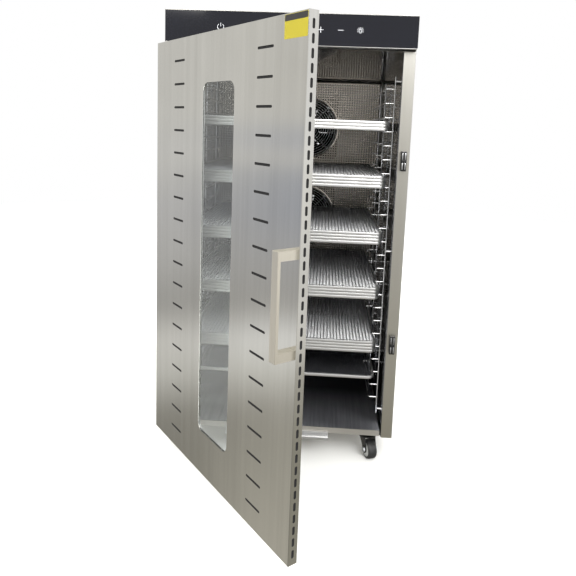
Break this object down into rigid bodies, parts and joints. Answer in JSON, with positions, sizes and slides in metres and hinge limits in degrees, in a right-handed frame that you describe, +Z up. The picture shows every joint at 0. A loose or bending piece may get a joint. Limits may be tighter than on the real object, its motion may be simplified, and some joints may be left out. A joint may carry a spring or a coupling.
{
  "type": "food dehydrator",
  "caption": "Upright cabinet food dehydrator on swivel casters with a slotted pan door and window, wire side racks, mesh trays, rear fans and a touch control head.",
  "frame": {"origin": "on the floor under the centre of the cabinet's body", "axes": "+X to the user's right facing the door, +Y to the rear, +Z up; rest is with the door open by 51 degrees"},
  "size_m": [0.6171, 1.1468, 1.1365],
  "materials": {
    "brushed_stainless": "brushed",
    "door_stainless": "brushed",
    "mirror_stainless": "polished",
    "floor_stainless": "semi-polished",
    "perforated_stainless": "perforated",
    "bright_stainless": "bright rolled",
    "tray_stainless": "bright folded rim and woven mesh",
    "zinc_steel": "zinc plated",
    "hinge_steel": "satin",
    "fascia_glass": "back-painted",
    "control_steel": "folded",
    "display_plastic": "gloss",
    "board_laminate": "solder mask",
    "fan_housing": "powder coated die casting",
    "fan_plastic": "moulded",
    "chrome_wire": "plated",
    "heater_sheath": "heat tinted",
    "lamp_lens": "frosted",
    "black_nylon": "moulded",
    "black_abs": "moulded",
    "window_glass": "clear",
    "satin_nickel": "satin nickel",
    "label_film": "printed film",
    "black_painted_steel": "black coated",
    "caster_rubber": "moulded tread"
  },
  "bodies": {
    "cabinet": {"side_panel_left": "brushed_stainless", "side_panel_right": "brushed_stainless", "top_panel": "brushed_stainless", "rear_cover": "brushed_stainless", "base_panel": "brushed_stainless", "jamb_left": "brushed_stainless", "jamb_right": "brushed_stainless", "liner_left": "mirror_stainless", "liner_right": "mirror_stainless", "ceiling_liner": "mirror_stainless", "floor_pan": "floor_stainless", "air_wall": "perforated_stainless", "cabinet_screws": "zinc_steel", "control_fascia": "fascia_glass", "control_box": "control_steel", "display_module": "display_plastic", "control_board": "board_laminate", "fan_frames": "fan_housing", "fan_guards": "chrome_wire", "heater_rings": "heater_sheath", "temperature_probe": "heater_sheath", "interior_lamp": "lamp_lens", "power_gland": "black_nylon", "rack_left": "chrome_wire", "rack_right": "chrome_wire", "hinge_leaves_cabinet": "hinge_steel", "hinge_pins": "zinc_steel", "catch_lower": "black_abs", "catch_upper": "black_abs", "caster_plates": "black_painted_steel"},
    "door": {"door_skin": "door_stainless", "window_glass": "window_glass", "window_frame": "bright_stainless", "door_handle": "satin_nickel", "handle_screws": "zinc_steel", "caution_label": "label_film", "striker_plates": "zinc_steel", "hinge_leaves_door": "hinge_steel"},
    "drip_tray": {"drip_tray": "bright_stainless"},
    "fan_1": {"fan_impeller_1": "fan_plastic"},
    "fan_2": {"fan_impeller_2": "fan_plastic"},
    "fan_3": {"fan_impeller_3": "fan_plastic"},
    "tray_stack_1": {"tray_stack_1": "tray_stainless"},
    "tray_stack_2": {"tray_stack_2": "tray_stainless"},
    "tray_stack_3": {"tray_stack_3": "tray_stainless"},
    "tray_stack_4": {"tray_stack_4": "tray_stainless"},
    "tray_stack_5": {"tray_stack_5": "tray_stainless"},
    "tray_single": {"tray_single": "tray_stainless"},
    "caster_front_left": {"caster_fork_front_left": "black_painted_steel", "caster_axle_front_left": "zinc_steel"},
    "wheel_front_left": {"caster_wheel_front_left": "caster_rubber"},
    "caster_front_right": {"caster_fork_front_right": "black_painted_steel", "caster_axle_front_right": "zinc_steel"},
    "wheel_front_right": {"caster_wheel_front_right": "caster_rubber"},
    "caster_rear_left": {"caster_fork_rear_left": "black_painted_steel", "caster_axle_rear_left": "zinc_steel"},
    "wheel_rear_left": {"caster_wheel_rear_left": "caster_rubber"},
    "caster_rear_right": {"caster_fork_rear_right": "black_painted_steel", "caster_axle_rear_right": "zinc_steel"},
    "wheel_rear_right": {"caster_wheel_rear_right": "caster_rubber"}
  },
  "joints": [
    {"name": "door_hinge", "type": "hinge", "parent": "cabinet", "child": "door", "pos_m": [-0.307, -0.315, 0.5699], "axis": [0, 0, -1], "range_deg": [-51, 129]},
    {"name": "tray_stack_1_slide", "type": "slide", "parent": "cabinet", "child": "tray_stack_1", "axis": [0, -1, 0], "range_m": [0, 0.08]},
    {"name": "tray_stack_2_slide", "type": "slide", "parent": "cabinet", "child": "tray_stack_2", "axis": [0, -1, 0], "range_m": [0, 0.08]},
    {"name": "tray_stack_3_slide", "type": "slide", "parent": "cabinet", "child": "tray_stack_3", "axis": [0, -1, 0], "range_m": [0, 0.08]},
    {"name": "tray_stack_4_slide", "type": "slide", "parent": "cabinet", "child": "tray_stack_4", "axis": [0, -1, 0], "range_m": [0, 0.08]},
    {"name": "tray_stack_5_slide", "type": "slide", "parent": "cabinet", "child": "tray_stack_5", "axis": [0, -1, 0], "range_m": [0, 0.08]},
    {"name": "tray_single_slide", "type": "slide", "parent": "cabinet", "child": "tray_single", "axis": [0, -1, 0], "range_m": [0, 0.08]},
    {"name": "drip_tray_slide", "type": "slide", "parent": "cabinet", "child": "drip_tray", "axis": [0, -1, 0], "range_m": [0, 0.3]},
    {"name": "fan_1_spin", "type": "hinge", "parent": "cabinet", "child": "fan_1", "pos_m": [0.032, 0.235, 0.8701], "axis": [0, -1, 0], "continuous": true},
    {"name": "fan_2_spin", "type": "hinge", "parent": "cabinet", "child": "fan_2", "pos_m": [0.032, 0.235, 0.57585], "axis": [0, -1, 0], "continuous": true},
    {"name": "fan_3_spin", "type": "hinge", "parent": "cabinet", "child": "fan_3", "pos_m": [0.032, 0.235, 0.2816], "axis": [0, -1, 0], "continuous": true},
    {"name": "caster_front_left_swivel", "type": "hinge", "parent": "cabinet", "child": "caster_front_left", "pos_m": [-0.2405, -0.261, 0.075], "axis": [0, 0, 1], "continuous": true},
    {"name": "wheel_front_left_spin", "type": "hinge", "parent": "caster_front_left", "child": "wheel_front_left", "pos_m": [-0.24895, -0.27913, 0.025], "axis": [0.9063, -0.4226, 0], "continuous": true},
    {"name": "caster_front_right_swivel", "type": "hinge", "parent": "cabinet", "child": "caster_front_right", "pos_m": [0.2405, -0.261, 0.075], "axis": [0, 0, 1], "continuous": true},
    {"name": "wheel_front_right_spin", "type": "hinge", "parent": "caster_front_right", "child": "wheel_front_right", "pos_m": [0.24734, -0.27979, 0.025], "axis": [0.9397, 0.342, 0], "continuous": true},
    {"name": "caster_rear_left_swivel", "type": "hinge", "parent": "cabinet", "child": "caster_rear_left", "pos_m": [-0.2405, 0.261, 0.075], "axis": [0, 0, 1], "continuous": true},
    {"name": "wheel_rear_left_spin", "type": "hinge", "parent": "caster_rear_left", "child": "wheel_rear_left", "pos_m": [-0.24734, 0.27979, 0.025], "axis": [-0.9397, -0.342, 0], "continuous": true},
    {"name": "caster_rear_right_swivel", "type": "hinge", "parent": "cabinet", "child": "caster_rear_right", "pos_m": [0.2405, 0.261, 0.075], "axis": [0, 0, 1], "continuous": true},
    {"name": "wheel_rear_right_spin", "type": "hinge", "parent": "caster_rear_right", "child": "wheel_rear_right", "pos_m": [0.24895, 0.27913, 0.025], "axis": [-0.9063, 0.4226, 0], "continuous": true}
  ]
}
